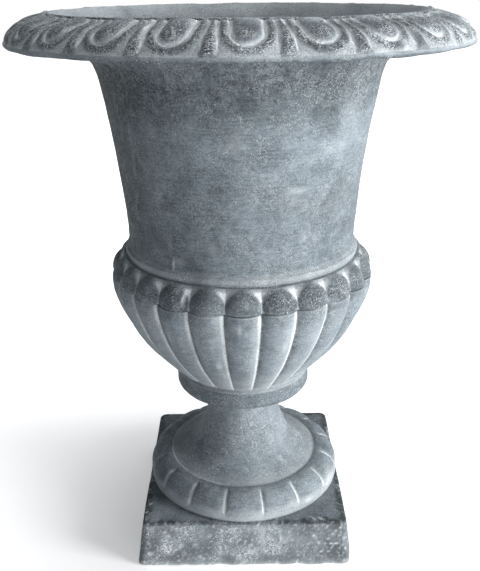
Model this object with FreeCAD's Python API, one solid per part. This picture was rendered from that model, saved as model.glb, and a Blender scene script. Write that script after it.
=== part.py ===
import FreeCAD, Part
import math
import os
from FreeCAD import Vector

# Campana urn planter: a bell with a rolled rim on a gadrooned bowl, a trumpet foot and a square plinth.
# Four castings stand on each other and one rod pulls them together. Millimetres, +Z up, +X to the
# right and -Y to the front. The origin is the middle of the plinth's underside, on the ground.

# ---------------------------------------------------------------- driving dimensions
# plinth
plinth_side = 252.0          # square side on the ground
plinth_height = 56.0
plinth_lean = 7.5            # how far each side leans in from bottom to top
plinth_corner = 9.0          # radius of the upright corners
plinth_edge = 3.0            # radius of the edges round the deck
plinth_wall = 10.0
deck_thickness = 9.0         # plate that the foot stands on
deck_hole_radius = 62.0
register_height = 4.0        # raised ring on the deck that centres the foot
register_width = 8.0

# foot: ring of lobes, trumpet and neck
foot_lobe_count = 16
foot_lobe_rise = 4.2         # how far the lobes' crown stands out from the grooves between them
foot_lobe_round = 48.0       # radius of a lobe, seen from above
foot_lobe_share = 0.94       # share of the pitch that a lobe fills; the rest is the groove
foot_lobe_sink = 0.4         # how far its flat ends lie inside the ring
foot_ring_radius = 118.5     # lobes' crown at the plinth
foot_ring_height = 29.5
foot_band_radius = 96.0      # flat band inside the lobes
foot_step_radius = 91.0      # foot of the trumpet
foot_step_depth = 1.6
foot_base_height = 4.0       # plain edge below the lobes
foot_wall = 9.0
trumpet_height = 93.0        # from the ring of lobes up to the neck's seat
neck_radius = 43.2
neck_seat_radius = 47.0
neck_bore_radius = 30.0
tenon_radius = 38.5
tenon_height = 10.0

# collar and gadrooned bowl
collar_radius = 79.8
collar_height = 24.6
collar_lower_round = 7.0
collar_upper_round = 3.0
collar_gap = 0.4             # fine groove between the collar and the gadroons' ends
floor_thickness = 11.0
bowl_lobe_count = 24
gadroon_radius = 25.0        # a gadroon is a round bar bent along the bowl, with a round end
gadroon_share = 0.97         # share of the pitch that it may fill
groove_depth = 6.2           # from its crown down to the groove, at the bowl's widest place
groove_depth_low = 2.2       # the same at the collar
bowl_radius = 149.2          # gadroons' crown at the widest place
bowl_rise = 121.5            # from the collar up to the widest place
shoulder_bend = 60.0         # radius of the bowl's outline below the widest place
shoulder_angle = 74.0        # slope where it meets the next bend, in degrees from level
side_bend = 185.0
cone_angle = 49.2            # slope of the straight cone above the collar
bowl_wall = 9.0
seam_above_widest = 3.0
seam_turn = 0.45             # degrees that the upper casting sits turned on the bowl
tongue_height = 8.0
tongue_width = 4.0

# bell
arch_height = 25.0           # from the widest place up to the plain band over the gadroons
band_radius = 136.5          # plain band at the tops of the gadroons
bead_radius = 5.0
bell_foot_radius = 126.6
bell_top_radius = 152.7
bell_height = 195.0          # from the bead up to the flare
bell_wall = 6.5
flare_height = 49.8          # from there up to the lip

# rim
rim_radius = 236.0
rim_width = 43.0             # from the outside of the raised lip to the rim's edge
lip_width = 4.6
lip_height = 3.2
rim_slope = 12.0             # degrees that the rim falls from the lip outwards
rim_bend = 38.0              # radius of the rolled edge
nose_slope = 62.0            # degrees where the rolled edge ends
rim_wall = 6.6

# rod and its fixings
rod_radius = 5.0
rod_end = 5.0                # bare thread beyond each nut
nut_height = 8.0
nut_flats = 17.0
nut_bevel = 0.8              # taken off the upper corners
top_washer_radius = 15.0
top_washer_thickness = 2.5
top_seal_thickness = 2.0
bottom_washer_radius = 10.5
bottom_washer_thickness = 2.0
clamp_bar_width = 38.0
clamp_bar_thickness = 8.0
clamp_bar_bearing = 20.0     # how far each end of the bar runs under the deck

# drain
drain_radius = 5.0
drain_offset = 24.5          # from the rod's axis
plug_flange_radius = 8.0
plug_flange_thickness = 3.0
plug_grip_radius = 3.0
plug_grip_height = 11.0
plug_tip = 3.0               # how far the plug reaches below the floor

# clearances and beds
rod_clearance = 0.5
tenon_clearance = 0.5
register_clearance = 0.6
tongue_clearance = 0.5
plug_clearance = 0.3
putty_bed = 1.5              # thickness of the beds of filler
putty_recess = 3.5           # how far the beds stay back from the edges they lie under

# ---------------------------------------------------------------- levels
foot_z = plinth_height + putty_bed
ring_top_z = foot_z + foot_ring_height
neck_z = ring_top_z + trumpet_height
collar_z = neck_z + putty_bed
collar_top_z = collar_z + collar_height
widest_z = collar_top_z + bowl_rise
seam_z = widest_z + seam_above_widest
arch_z = widest_z + arch_height
bead_z = arch_z + bead_radius + 2.0
bell_z = bead_z + bead_radius
flare_z = bell_z + bell_height
lip_z = flare_z + flare_height
rim_z = lip_z - lip_height
socket_z = collar_z + tenon_height - putty_bed + tenon_clearance
floor_z = socket_z + floor_thickness


# ---------------------------------------------------------------- outline helpers
def at(radius, height):
    return Vector(radius, 0, height)


def line(start, end):
    return Part.makeLine(start, end)


def arc(start, middle, end):
    return Part.Arc(start, middle, end).toShape()


def curve(points, start_way=None, end_way=None):
    """Smooth outline through the points, with its ways at both ends if they are given."""
    spline = Part.BSplineCurve()
    if start_way is None:
        spline.interpolate(points)
    else:
        spline.interpolate(Points=points, InitialTangent=start_way, FinalTangent=end_way)
    return spline.toShape()


def shaped(start, end, shares):
    """Smooth outline from start to end, through points given as shares of the way across and up."""
    across = end.x - start.x
    up = end.z - start.z
    points = [at(start.x + x * across, start.z + z * up) for x, z in shares]
    return curve([start] + points + [end])


def on_path(path, length):
    """Point on an outline at a length along it, and the way it runs there."""
    there = path.getParameterByLength(min(length, path.Length))
    return path.valueAt(there), path.tangentAt(there)


def inset(path, depth, steps=6):
    """The outline moved to its left by a wall's thickness."""
    points = []
    for step in range(steps + 1):
        point, way = on_path(path, path.Length * step / steps)
        points.append(point + Vector(-way.z, 0, way.x) * depth)
    return curve(points)


def towards(angle, distance):
    """Offset in the outline's plane: 0 degrees is straight up, 90 is straight out."""
    return Vector(math.sin(math.radians(angle)) * distance, 0, math.cos(math.radians(angle)) * distance)


def plain_run(path, stretches):
    """Straight stretches along an outline, for a surface that nothing shows."""
    points = [on_path(path, path.Length * step / stretches)[0] for step in range(stretches + 1)]
    return [line(start, end) for start, end in zip(points, points[1:])]


def bevelled_bend(centre, bend, start_angle, end_angle, stretches):
    """A small round edge as a few flats. Angles are those of towards()."""
    turn = (end_angle - start_angle) / stretches
    points = [centre + towards(start_angle + turn * step, bend) for step in range(stretches + 1)]
    return [line(start, end) for start, end in zip(points, points[1:])]


def start_of(path):
    return path.valueAt(path.FirstParameter)


def end_of(path):
    return path.valueAt(path.LastParameter)


def turned(edges):
    """Solid of revolution from the edges of a closed outline."""
    wire = Part.Wire(Part.__sortEdges__(edges))
    return Part.Face(wire).revolve(Vector(0, 0, 0), Vector(0, 0, 1), 360)


def ring(inner, outer, low, high):
    solid = Part.makeCylinder(outer, high - low, Vector(0, 0, low))
    return solid.cut(Part.makeCylinder(inner, high - low + 2, Vector(0, 0, low - 1)))


def around(solid, count, first=0.0):
    """Copies of a solid evenly spaced round the axis. The first one faces the front."""
    copies = []
    for index in range(count):
        copy = solid.copy()
        copy.rotate(Vector(0, 0, 0), Vector(0, 0, 1), first - 90 + 360.0 * index / count)
        copies.append(copy)
    return copies


def disc(centre, way, radius):
    return Part.Face(Part.Wire(Part.makeCircle(radius, centre, way)))


def bent_bar(centre, bend, radius, start_angle, end_angle):
    """Round bar bent about a point of the outline's plane, from one angle on to the other."""
    start = centre + towards(start_angle, bend)
    way = towards(start_angle - 90, 1)
    return disc(start, way, radius).revolve(centre, Vector(0, -1, 0), start_angle - end_angle)


def within_pitch(solid, count, share):
    """What lies within one lobe's share of the circle, about +X."""
    half_angle = math.radians(180 / count * share)
    reach = 2 * rim_radius
    corners = [
        Vector(0, 0, 0),
        Vector(reach * math.cos(half_angle), -reach * math.sin(half_angle), 0),
        Vector(reach * math.cos(half_angle), reach * math.sin(half_angle), 0),
        Vector(0, 0, 0),
    ]
    return solid.common(Part.Face(Part.makePolygon(corners)).extrude(Vector(0, 0, lip_z)))


def below(solid, height):
    room = Part.makeBox(2 * rim_radius, 2 * rim_radius, height + 1, Vector(-rim_radius, -rim_radius, -1))
    return solid.common(room)


def above(solid, height):
    room = Part.makeBox(2 * rim_radius, 2 * rim_radius, lip_z, Vector(-rim_radius, -rim_radius, height))
    return solid.common(room)


def length_at(path, height):
    """Length along a rising outline at which it reaches a height."""
    low = 0.0
    high = path.Length
    for _ in range(40):
        middle = (low + high) / 2
        if on_path(path, middle)[0].z < height:
            low = middle
        else:
            high = middle
    return low


def part_of(path, start, end):
    """The stretch of an outline between two lengths along it."""
    return path.Curve.toShape(path.getParameterByLength(start), path.getParameterByLength(end))


def save(name, solids):
    if not isinstance(solids, list):
        solids = [solids]
    shape = Part.makeCompound(solids)
    shape.exportStep("parts/" + name + ".step")
    faces = sum(len(solid.Faces) for solid in solids)
    print(name, "solids", len(shape.Solids), "faces", faces, "valid", shape.isValid())


# ---------------------------------------------------------------- plinth
def leaning_block(half_side, low, high):
    """Square block that narrows upwards by the plinth's lean. half_side is its half side at z = 0."""
    slope = plinth_lean / plinth_height
    base = half_side - low * slope
    top = half_side - high * slope
    block = Part.makeWedge(-base, 0, -base, -top, -top, base, high - low, base, top, top)
    block.rotate(Vector(0, 0, 0), Vector(1, 0, 0), 90)
    block.translate(Vector(0, 0, low))
    return block


def make_plinth():
    block = leaning_block(plinth_side / 2, 0, plinth_height)
    uprights = [edge for edge in block.Edges if edge.BoundBox.ZLength > plinth_height / 2]
    block = block.makeFillet(plinth_corner, uprights)
    deck_edges = [edge for edge in block.Edges if edge.BoundBox.ZMin > plinth_height - 0.01]
    block = block.makeFillet(plinth_edge, deck_edges)
    block = block.cut(leaning_block(plinth_side / 2 - plinth_wall, -1, plinth_height - deck_thickness))
    block = block.cut(Part.makeCylinder(deck_hole_radius, plinth_height, Vector(0, 0, 0)))
    register_top = plinth_height + register_height
    register = ring(register_radius - register_width, register_radius, plinth_height, register_top)
    return block.fuse(register).removeSplitter()


# ---------------------------------------------------------------- foot
foot_core_radius = foot_ring_radius - foot_lobe_rise
register_radius = foot_core_radius - foot_wall - register_clearance


def quarter_round(outer, inner, low, high):
    """Upright line and quarter circle, from (outer, low) over to (inner, high)."""
    bend = outer - inner
    spring = at(outer, high - bend)
    middle = at(inner, high - bend) + towards(45, bend)
    return [line(at(outer, low), spring), arc(spring, middle, at(inner, high))]


step_z = ring_top_z - foot_step_depth
waist_z = ring_top_z + 0.66 * trumpet_height
trumpet_path = shaped(
    at(foot_step_radius, step_z),
    at(neck_radius, waist_z),
    [(0.315, 0.105), (0.634, 0.30), (0.835, 0.60), (0.965, 0.87)],
)


def make_foot_lobe():
    """A lobe is part of a round cushion whose own axis stands between the foot's axis and its rim."""
    axis = foot_ring_radius - foot_lobe_round
    inner = foot_band_radius - axis
    low = foot_z + foot_lobe_sink
    high = ring_top_z - foot_lobe_sink
    cushion = turned(
        [line(at(0, low), at(foot_lobe_round, low))]
        + quarter_round(foot_lobe_round, inner, low, high)
        + [line(at(inner, high), at(0, high)), line(at(0, high), at(0, low))]
    )
    cushion.translate(Vector(axis, 0, 0))
    cushion = cushion.cut(Part.makeCylinder(foot_band_radius - foot_lobe_rise, lip_z))
    return within_pitch(cushion, foot_lobe_count, foot_lobe_share)


def make_lobed_ring():
    """The foot's lower part: a bevelled ring, its lobes and the plain edge that they stand on."""
    bevel = foot_core_radius - foot_band_radius
    core_side = at(foot_core_radius, ring_top_z - bevel)
    core_shoulder = at(foot_band_radius + bevel / 3, ring_top_z - bevel / 6)
    core = turned(
        [
            line(at(0, foot_z), at(foot_core_radius, foot_z)),
            line(at(foot_core_radius, foot_z), core_side),
            line(core_side, core_shoulder),
            line(core_shoulder, at(foot_band_radius, ring_top_z)),
            line(at(foot_band_radius, ring_top_z), at(0, ring_top_z)),
            line(at(0, ring_top_z), at(0, foot_z)),
        ]
    )
    core = core.multiFuse(around(make_foot_lobe(), foot_lobe_count))
    base_top = foot_z + foot_base_height
    base_side = at(foot_ring_radius, foot_z + foot_base_height / 2)
    base = turned(
        [
            line(at(0, foot_z), at(foot_ring_radius, foot_z)),
            line(at(foot_ring_radius, foot_z), base_side),
            line(base_side, at(foot_core_radius, base_top)),
            line(at(foot_core_radius, base_top), at(0, base_top)),
            line(at(0, base_top), at(0, foot_z)),
        ]
    )
    step = Part.makeCylinder(foot_step_radius, 2 * foot_step_depth, Vector(0, 0, step_z))
    return core.fuse(base).cut(step)


def make_foot():
    tenon_z = neck_z + tenon_height
    neck_middle = at((neck_radius + neck_seat_radius) / 2 - 0.8, (waist_z + neck_z) / 2)
    neck_path = curve([end_of(trumpet_path), neck_middle, at(neck_seat_radius, neck_z)])
    trumpet = turned(
        [
            line(at(0, step_z), start_of(trumpet_path)),
            trumpet_path,
            neck_path,
            line(end_of(neck_path), at(tenon_radius, neck_z)),
            line(at(tenon_radius, neck_z), at(tenon_radius, tenon_z)),
            line(at(tenon_radius, tenon_z), at(0, tenon_z)),
            line(at(0, tenon_z), at(0, step_z)),
        ]
    )
    foot = make_lobed_ring().fuse(trumpet)
    inner_trumpet = inset(trumpet_path, foot_wall)
    inner_radius = foot_core_radius - foot_wall
    inner_top = ring_top_z - foot_wall
    inner_bevel = inner_radius - foot_band_radius
    hollow = turned(
        [
            line(at(0, foot_z - 1), at(inner_radius, foot_z - 1)),
            line(at(inner_radius, foot_z - 1), at(inner_radius, inner_top - inner_bevel)),
        ]
        + bevelled_bend(at(foot_band_radius, inner_top - inner_bevel), inner_bevel, 90, 0, 3)
        + plain_run(inner_trumpet, 6)
        + [
            line(at(foot_band_radius, inner_top), start_of(inner_trumpet)),
            line(end_of(inner_trumpet), at(neck_bore_radius, waist_z + foot_wall)),
            line(at(neck_bore_radius, waist_z + foot_wall), at(neck_bore_radius, tenon_z + 1)),
            line(at(neck_bore_radius, tenon_z + 1), at(0, tenon_z + 1)),
            line(at(0, tenon_z + 1), at(0, foot_z - 1)),
        ]
    )
    return foot.cut(hollow)


# ---------------------------------------------------------------- bowl
# Crown of the gadroons: a straight cone, a long bend and a short one. Angles are of the outline's normal.
shoulder_centre = at(bowl_radius - shoulder_bend, widest_z)
shoulder_low = shoulder_centre + towards(180 - shoulder_angle, shoulder_bend)
side_centre = shoulder_centre + towards(180 - shoulder_angle, shoulder_bend - side_bend)
side_low = side_centre + towards(180 - cone_angle, side_bend)
cone_way = towards(90 - cone_angle, 1)
cone_length = (side_low.z - collar_top_z) / cone_way.z
cone_low = side_low - cone_way * cone_length


def groove_point(crown, angle, depth):
    return crown - towards(angle, depth)


groove_radius = bowl_radius - groove_depth
bowl_path = curve(
    [
        groove_point(cone_low, 180 - cone_angle, groove_depth_low),
        groove_point(side_low, 180 - cone_angle, groove_depth_low + 0.65 * (groove_depth - groove_depth_low)),
        groove_point(
            side_centre + towards(180 - (cone_angle + shoulder_angle) / 2, side_bend),
            180 - (cone_angle + shoulder_angle) / 2,
            groove_depth_low + 0.85 * (groove_depth - groove_depth_low),
        ),
        groove_point(shoulder_low, 180 - shoulder_angle, groove_depth),
        at(groove_radius, widest_z),
        at(groove_radius + 0.25 * (band_radius - groove_radius), widest_z + arch_height / 2),
        at(band_radius, arch_z),
    ]
)
seam_length = length_at(bowl_path, seam_z)
seam_radius = on_path(bowl_path, seam_length)[0].x
inner_seam_radius = seam_radius - bowl_wall
tongue_radius = inner_seam_radius + tongue_width
rebate_z = seam_z - tongue_height - putty_bed


def make_gadroon():
    """Round bar along the crown, from inside the collar up to a round end over the widest place."""
    root = cone_low - cone_way * gadroon_radius - towards(180 - cone_angle, gadroon_radius)
    straight = disc(root, cone_way, gadroon_radius).extrude(cone_way * (cone_length + gadroon_radius))
    straight = above(straight, collar_top_z + collar_gap)
    side = bent_bar(
        side_centre, side_bend - gadroon_radius, gadroon_radius, 180 - cone_angle, 180 - shoulder_angle
    )
    shoulder = bent_bar(
        shoulder_centre, shoulder_bend - gadroon_radius, gadroon_radius, 180 - shoulder_angle, 90
    )
    end = Part.makeSphere(gadroon_radius, at(bowl_radius - gadroon_radius, widest_z), Vector(0, 0, 1), 0, 90, 360)
    bar = straight.multiFuse([side, shoulder, end])
    return within_pitch(bar, bowl_lobe_count, gadroon_share)


def make_bowl(gadroon):
    outer = part_of(bowl_path, 0, seam_length)
    inner = inset(part_of(bowl_path, 0, length_at(bowl_path, rebate_z - putty_recess)), bowl_wall)
    socket_radius = tenon_radius + tenon_clearance
    floor_radius = collar_radius * 0.7
    low_centre = at(collar_radius - collar_lower_round, collar_z + collar_lower_round)
    high_centre = at(collar_radius - collar_upper_round, collar_top_z - collar_upper_round)
    bowl = turned(
        [line(at(0, collar_z), at(low_centre.x, collar_z))]
        + bevelled_bend(low_centre, collar_lower_round, 180, 90, 4)
        + [line(at(collar_radius, low_centre.z), at(collar_radius, high_centre.z))]
        + bevelled_bend(high_centre, collar_upper_round, 90, 0, 3)
        + [line(at(high_centre.x, collar_top_z), start_of(outer))]
        + plain_run(outer, 7)
        + [
            line(end_of(outer), at(0, seam_z)),
            line(at(0, seam_z), at(0, collar_z)),
        ]
    )
    bowl = bowl.multiFuse(around(below(gadroon, seam_z), bowl_lobe_count)).removeSplitter()
    rebate_radius = tongue_radius + tongue_clearance
    hollow = turned(
        plain_run(inner, 5)
        + [
            line(at(0, seam_z + 1), at(rebate_radius, seam_z + 1)),
            line(at(rebate_radius, seam_z + 1), at(rebate_radius, rebate_z)),
            line(at(rebate_radius, rebate_z), at(inner_seam_radius, rebate_z)),
            line(at(inner_seam_radius, rebate_z), end_of(inner)),
            line(start_of(inner), at(floor_radius + bowl_wall, floor_z + bowl_wall / 3)),
            line(at(floor_radius + bowl_wall, floor_z + bowl_wall / 3), at(floor_radius, floor_z)),
            line(at(floor_radius, floor_z), at(0, floor_z)),
            line(at(0, floor_z), at(0, seam_z + 1)),
        ]
    )
    bowl = bowl.cut(hollow)
    bowl = bowl.cut(Part.makeCylinder(socket_radius, socket_z, Vector(0, 0, 0)))
    bowl = bowl.cut(Part.makeCylinder(rod_radius + rod_clearance, floor_z + 1, Vector(0, 0, 0)))
    return bowl.cut(Part.makeCylinder(drain_radius, floor_z + 1, Vector(drain_offset, 0, 0)))


# ---------------------------------------------------------------- bell and rim
# The rolled edge bends about one point, which its outer face and its underside share.
mouth_radius = rim_radius - rim_width
nose_centre_reach = rim_bend - rim_wall / 2
rim_centre_radius = rim_radius - rim_wall / 2 - towards(nose_slope, nose_centre_reach).x
rim_start_radius = rim_centre_radius + towards(rim_slope, rim_bend).x
rim_fall = (rim_start_radius - mouth_radius) * math.tan(math.radians(rim_slope))
rim_centre = at(rim_centre_radius, rim_z - rim_fall - towards(rim_slope, rim_bend).z)


def make_rim_and_bell(gadroon):
    band_path = part_of(bowl_path, seam_length, bowl_path.Length)
    bead_reach = bell_foot_radius + bead_radius
    bead_foot = at(bead_reach - 0.5, bead_z - bead_radius)
    bead_top = at(bell_foot_radius + 1.0, bell_z - 0.5)
    bell_path = shaped(
        at(bell_foot_radius, bell_z),
        at(bell_top_radius, flare_z),
        [(0.13, 0.33), (0.50, 0.71), (0.78, 0.90)],
    )
    under_bend = rim_bend - rim_wall
    under_start = rim_centre + towards(rim_slope, under_bend)
    flare_across = under_start.x - bell_top_radius
    flare_up = under_start.z - flare_z
    flare_path = curve(
        [
            end_of(bell_path),
            at(bell_top_radius + 0.20 * flare_across, flare_z + 0.35 * flare_up),
            at(bell_top_radius + 0.52 * flare_across, flare_z + 0.79 * flare_up),
            under_start,
        ],
        bell_path.tangentAt(bell_path.LastParameter) * 40,
        towards(rim_slope + 90, 30),
    )
    middle_slope = (rim_slope + nose_slope) / 2
    nose_middle = rim_centre + towards(nose_slope, nose_centre_reach)
    rim_start = rim_centre + towards(rim_slope, rim_bend)
    rim_end = rim_centre + towards(nose_slope, rim_bend)
    under_end = rim_centre + towards(nose_slope, under_bend)
    casting = turned(
        bevelled_bend(nose_middle, rim_wall / 2, nose_slope + 180, nose_slope, 4)
        + [
            line(at(0, seam_z), start_of(band_path)),
            band_path,
            line(end_of(band_path), at(bead_reach - 0.5, arch_z)),
            line(at(bead_reach - 0.5, arch_z), bead_foot),
            arc(bead_foot, at(bead_reach + 1.2, bead_z - 1), bead_top),
            line(bead_top, start_of(bell_path)),
            bell_path,
            flare_path,
            arc(under_start, rim_centre + towards(middle_slope, under_bend), under_end),
            arc(rim_end, rim_centre + towards(middle_slope, rim_bend), rim_start),
            line(rim_start, at(mouth_radius, rim_z)),
            line(at(mouth_radius, rim_z), at(mouth_radius, lip_z)),
            line(at(mouth_radius, lip_z), at(0, lip_z)),
            line(at(0, lip_z), at(0, seam_z)),
        ]
    )
    gadroon_tips = around(above(gadroon, seam_z), bowl_lobe_count, seam_turn)
    casting = casting.multiFuse(gadroon_tips).removeSplitter()
    inner_bell = inset(bell_path, bell_wall)
    lip_inner = at(mouth_radius - lip_width, lip_z)
    inner_flare = shaped(end_of(inner_bell), lip_inner, [(0.28, 0.32), (0.62, 0.62), (0.90, 0.86)])
    inner_shoulder = curve(
        [at(inner_seam_radius, seam_z), start_of(inner_bell)], Vector(0, 0, 20), Vector(0, 0, 20)
    )
    hollow = turned(
        [
            line(at(0, lip_z), lip_inner),
            inner_flare,
            inner_bell,
            inner_shoulder,
            line(at(inner_seam_radius, seam_z), at(0, seam_z)),
            line(at(0, seam_z), at(0, lip_z)),
        ]
    )
    tongue = ring(inner_seam_radius, tongue_radius, seam_z - tongue_height, seam_z + 1)
    return casting.cut(hollow).fuse(tongue).removeSplitter()


# ---------------------------------------------------------------- beds of filler
def make_seam_putty():
    return ring(inner_seam_radius, tongue_radius, rebate_z, rebate_z + putty_bed)


def make_neck_putty():
    return ring(tenon_radius + tenon_clearance, neck_seat_radius - putty_bed, neck_z, collar_z)


def make_foot_putty():
    return ring(register_radius + register_clearance, foot_ring_radius - putty_recess, plinth_height, foot_z)


# ---------------------------------------------------------------- rod and its fixings
top_seal_z = floor_z
top_washer_z = top_seal_z + top_seal_thickness
top_nut_z = top_washer_z + top_washer_thickness
clamp_bar_z = plinth_height - deck_thickness - clamp_bar_thickness
bottom_washer_z = clamp_bar_z - bottom_washer_thickness
bottom_nut_z = bottom_washer_z - nut_height
rod_low_z = bottom_nut_z - rod_end
rod_high_z = top_nut_z + nut_height + rod_end


def make_rod():
    rod = Part.makeCylinder(rod_radius, rod_high_z - rod_low_z, Vector(0, 0, rod_low_z))
    return rod.makeChamfer(rod_radius * 0.2, [edge for edge in rod.Edges if edge.Length < 8 * rod_radius])


def make_nut(low):
    corner = nut_flats / 2 / math.cos(math.radians(30))
    points = [
        Vector(corner * math.cos(math.radians(60 * index)), corner * math.sin(math.radians(60 * index)), low)
        for index in range(7)
    ]
    nut = Part.Face(Part.makePolygon(points)).extrude(Vector(0, 0, nut_height))
    bevelled = Part.makeCone(nut_height + corner - nut_bevel, corner - nut_bevel, nut_height, Vector(0, 0, low))
    return nut.common(bevelled).cut(Part.makeCylinder(rod_radius, nut_height, Vector(0, 0, low)))


def make_clamp_bar():
    half_length = deck_hole_radius + clamp_bar_bearing
    corner = Vector(-clamp_bar_width / 2, -half_length, clamp_bar_z)
    bar = Part.makeBox(clamp_bar_width, 2 * half_length, clamp_bar_thickness, corner)
    return bar.cut(Part.makeCylinder(rod_radius + rod_clearance, plinth_height, Vector(0, 0, 0)))


# ---------------------------------------------------------------- drain plug
def make_drain_plug():
    shank_radius = drain_radius - plug_clearance
    tip_radius = shank_radius * 0.8
    stem_radius = plug_grip_radius * 0.8
    flange_z = floor_z + plug_flange_thickness
    grip_z = flange_z + plug_grip_height
    bulb_z = grip_z - 2 * plug_grip_radius
    plug = turned(
        [
            line(at(0, socket_z - plug_tip), at(tip_radius, socket_z - plug_tip)),
            line(at(tip_radius, socket_z - plug_tip), at(shank_radius, socket_z)),
            line(at(shank_radius, socket_z), at(shank_radius, floor_z)),
            line(at(shank_radius, floor_z), at(plug_flange_radius, floor_z)),
            line(at(plug_flange_radius, floor_z), at(plug_flange_radius, flange_z)),
            line(at(plug_flange_radius, flange_z), at(stem_radius, flange_z)),
            line(at(stem_radius, flange_z), at(stem_radius, bulb_z)),
            line(at(stem_radius, bulb_z), at(plug_grip_radius, bulb_z)),
            line(at(plug_grip_radius, bulb_z), at(plug_grip_radius, grip_z - 1)),
            line(at(plug_grip_radius, grip_z - 1), at(stem_radius, grip_z)),
            line(at(stem_radius, grip_z), at(0, grip_z)),
            line(at(0, grip_z), at(0, socket_z - plug_tip)),
        ]
    )
    plug.translate(Vector(drain_offset, 0, 0))
    return plug


# ---------------------------------------------------------------- all the pieces
os.makedirs("parts", exist_ok=True)
whole_gadroon = make_gadroon()
save("rim_and_bell", make_rim_and_bell(whole_gadroon))
save("gadrooned_bowl", make_bowl(whole_gadroon))
save("lobed_foot", make_foot())
save("plinth", make_plinth())
save("seam_putty", make_seam_putty())
save("neck_putty", make_neck_putty())
save("foot_putty", make_foot_putty())
save("tie_rod", make_rod())
save("rod_top_nut", make_nut(top_nut_z))
save("rod_top_washer", ring(rod_radius, top_washer_radius, top_washer_z, top_nut_z))
save("rod_top_seal", ring(rod_radius, top_washer_radius, top_seal_z, top_washer_z))
save("clamp_bar", make_clamp_bar())
save("rod_bottom_washer", ring(rod_radius, bottom_washer_radius, bottom_washer_z, clamp_bar_z))
save("rod_bottom_nut", make_nut(bottom_nut_z))
save("drain_plug", make_drain_plug())
print("height", lip_z)
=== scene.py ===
import math

import bpy
import numpy as np
from mathutils import Matrix, Vector, noise


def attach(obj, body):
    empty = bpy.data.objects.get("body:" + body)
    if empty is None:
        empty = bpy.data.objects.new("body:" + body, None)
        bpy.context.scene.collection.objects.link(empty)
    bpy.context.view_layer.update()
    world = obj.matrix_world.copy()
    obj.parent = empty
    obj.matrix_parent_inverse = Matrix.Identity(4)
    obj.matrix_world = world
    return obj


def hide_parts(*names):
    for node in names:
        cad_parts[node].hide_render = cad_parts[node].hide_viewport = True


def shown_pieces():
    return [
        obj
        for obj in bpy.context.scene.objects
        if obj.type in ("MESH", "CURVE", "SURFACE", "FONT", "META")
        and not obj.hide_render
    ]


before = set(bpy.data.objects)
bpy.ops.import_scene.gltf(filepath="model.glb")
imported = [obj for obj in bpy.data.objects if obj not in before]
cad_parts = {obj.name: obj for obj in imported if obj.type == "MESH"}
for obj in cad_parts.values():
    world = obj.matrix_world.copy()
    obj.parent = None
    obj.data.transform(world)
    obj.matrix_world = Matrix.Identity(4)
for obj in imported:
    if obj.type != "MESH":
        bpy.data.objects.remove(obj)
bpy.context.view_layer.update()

# A campana urn planter in cast metal with an aged blue-grey coat, rubbed with chalk. Each casting is
# one closed sheet: a grid wrapped round the urn's axis, with its carving worked in. Sizes are in
# millimetres and become metres as a mesh is filled. Turns are in degrees from the front, to the right.
# Every row of a sheet also carries its wear: chalk, grime, specks and tone, mostly from 0 to 1.
# The chalk also holds painted highlights and the grime also holds painted shade.
# Over 1 they only last longer against the patches that break them up.
MM = 0.001

# ---------------- sizes shared with the construction
# The arch, the band over it, the bead and the tongue lie 1 to 3 mm off it, nearer to the photograph.
plinth_side = 252.0
plinth_height = 56.0
plinth_lean = 7.5
plinth_corner = 9.0
plinth_edge = 3.0
plinth_wall = 10.0
deck_thickness = 9.0
deck_hole_radius = 62.0
register_outer = 104.7
register_inner = 96.7
register_height = 4.0
foot_low = 57.5
foot_ring_top = 87.0
foot_ring_radius = 118.5
foot_band_radius = 96.0
foot_step_radius = 91.0
foot_step_depth = 1.6
neck_seat_level = 180.0
neck_radius = 43.2
neck_seat_radius = 47.0
tenon_radius = 38.5
tenon_height = 10.0
neck_bore_radius = 30.0
collar_low = 181.5
collar_top = 206.1
collar_radius = 79.8
socket_top = 190.5
bowl_floor = 201.5
widest_level = 327.6
seam_level = 330.6
arch_level = 354.4
band_radius = 134.0
bead_level = 360.2
bead_radius = 4.4
lip_level = 609.4
rim_level = 606.2
mouth_radius = 193.0
rim_radius = 236.0
bowl_radius = 149.2
gadroon_radius = 25.0
groove_depth = 6.2
tip_rise = 3.9
inner_seam_radius = 134.4
tongue_radius = 138.4
rod_hole_radius = 5.5
drain_radius = 5.0
drain_offset = 24.5
gadroon_count = 24
egg_count = 24
foot_lobe_count = 16


# ---------------- helpers for outlines
def sin_of(degrees):
    return math.sin(math.radians(degrees))


def cos_of(degrees):
    return math.cos(math.radians(degrees))


def smooth(low, high, value):
    """Soft step from 0 at low to 1 at high."""
    share = np.clip((value - low) / (high - low), 0, 1)
    return share * share * (3 - 2 * share)


def along(points, rows, skip_first=True):
    """Evenly spaced points on a smooth line through the given ones."""
    given = np.array(points, dtype=float)
    steps = np.hypot(*np.diff(given, axis=0).T)
    place = np.concatenate([[0], np.cumsum(steps)])
    tangents = np.gradient(given, place, axis=0)
    wanted = np.linspace(0, place[-1], rows + 1)
    index = np.clip(np.searchsorted(place, wanted, side="right") - 1, 0, len(place) - 2)
    gap = place[index + 1] - place[index]
    share = ((wanted - place[index]) / gap)[:, None]
    gap = gap[:, None]
    # cubic between two given points, from both places and both slopes
    start = 2 * share ** 3 - 3 * share ** 2 + 1
    start_slope = share ** 3 - 2 * share ** 2 + share
    end = -2 * share ** 3 + 3 * share ** 2
    end_slope = share ** 3 - share ** 2
    line = (
        start * given[index] + start_slope * gap * tangents[index]
        + end * given[index + 1] + end_slope * gap * tangents[index + 1]
    )
    return line[1:] if skip_first else line


def straight(start, end, rows):
    """Evenly spaced points from start to end, without start itself."""
    share = np.linspace(0, 1, rows + 1)[1:, None]
    return np.array(start) + share * (np.array(end) - np.array(start))


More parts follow.
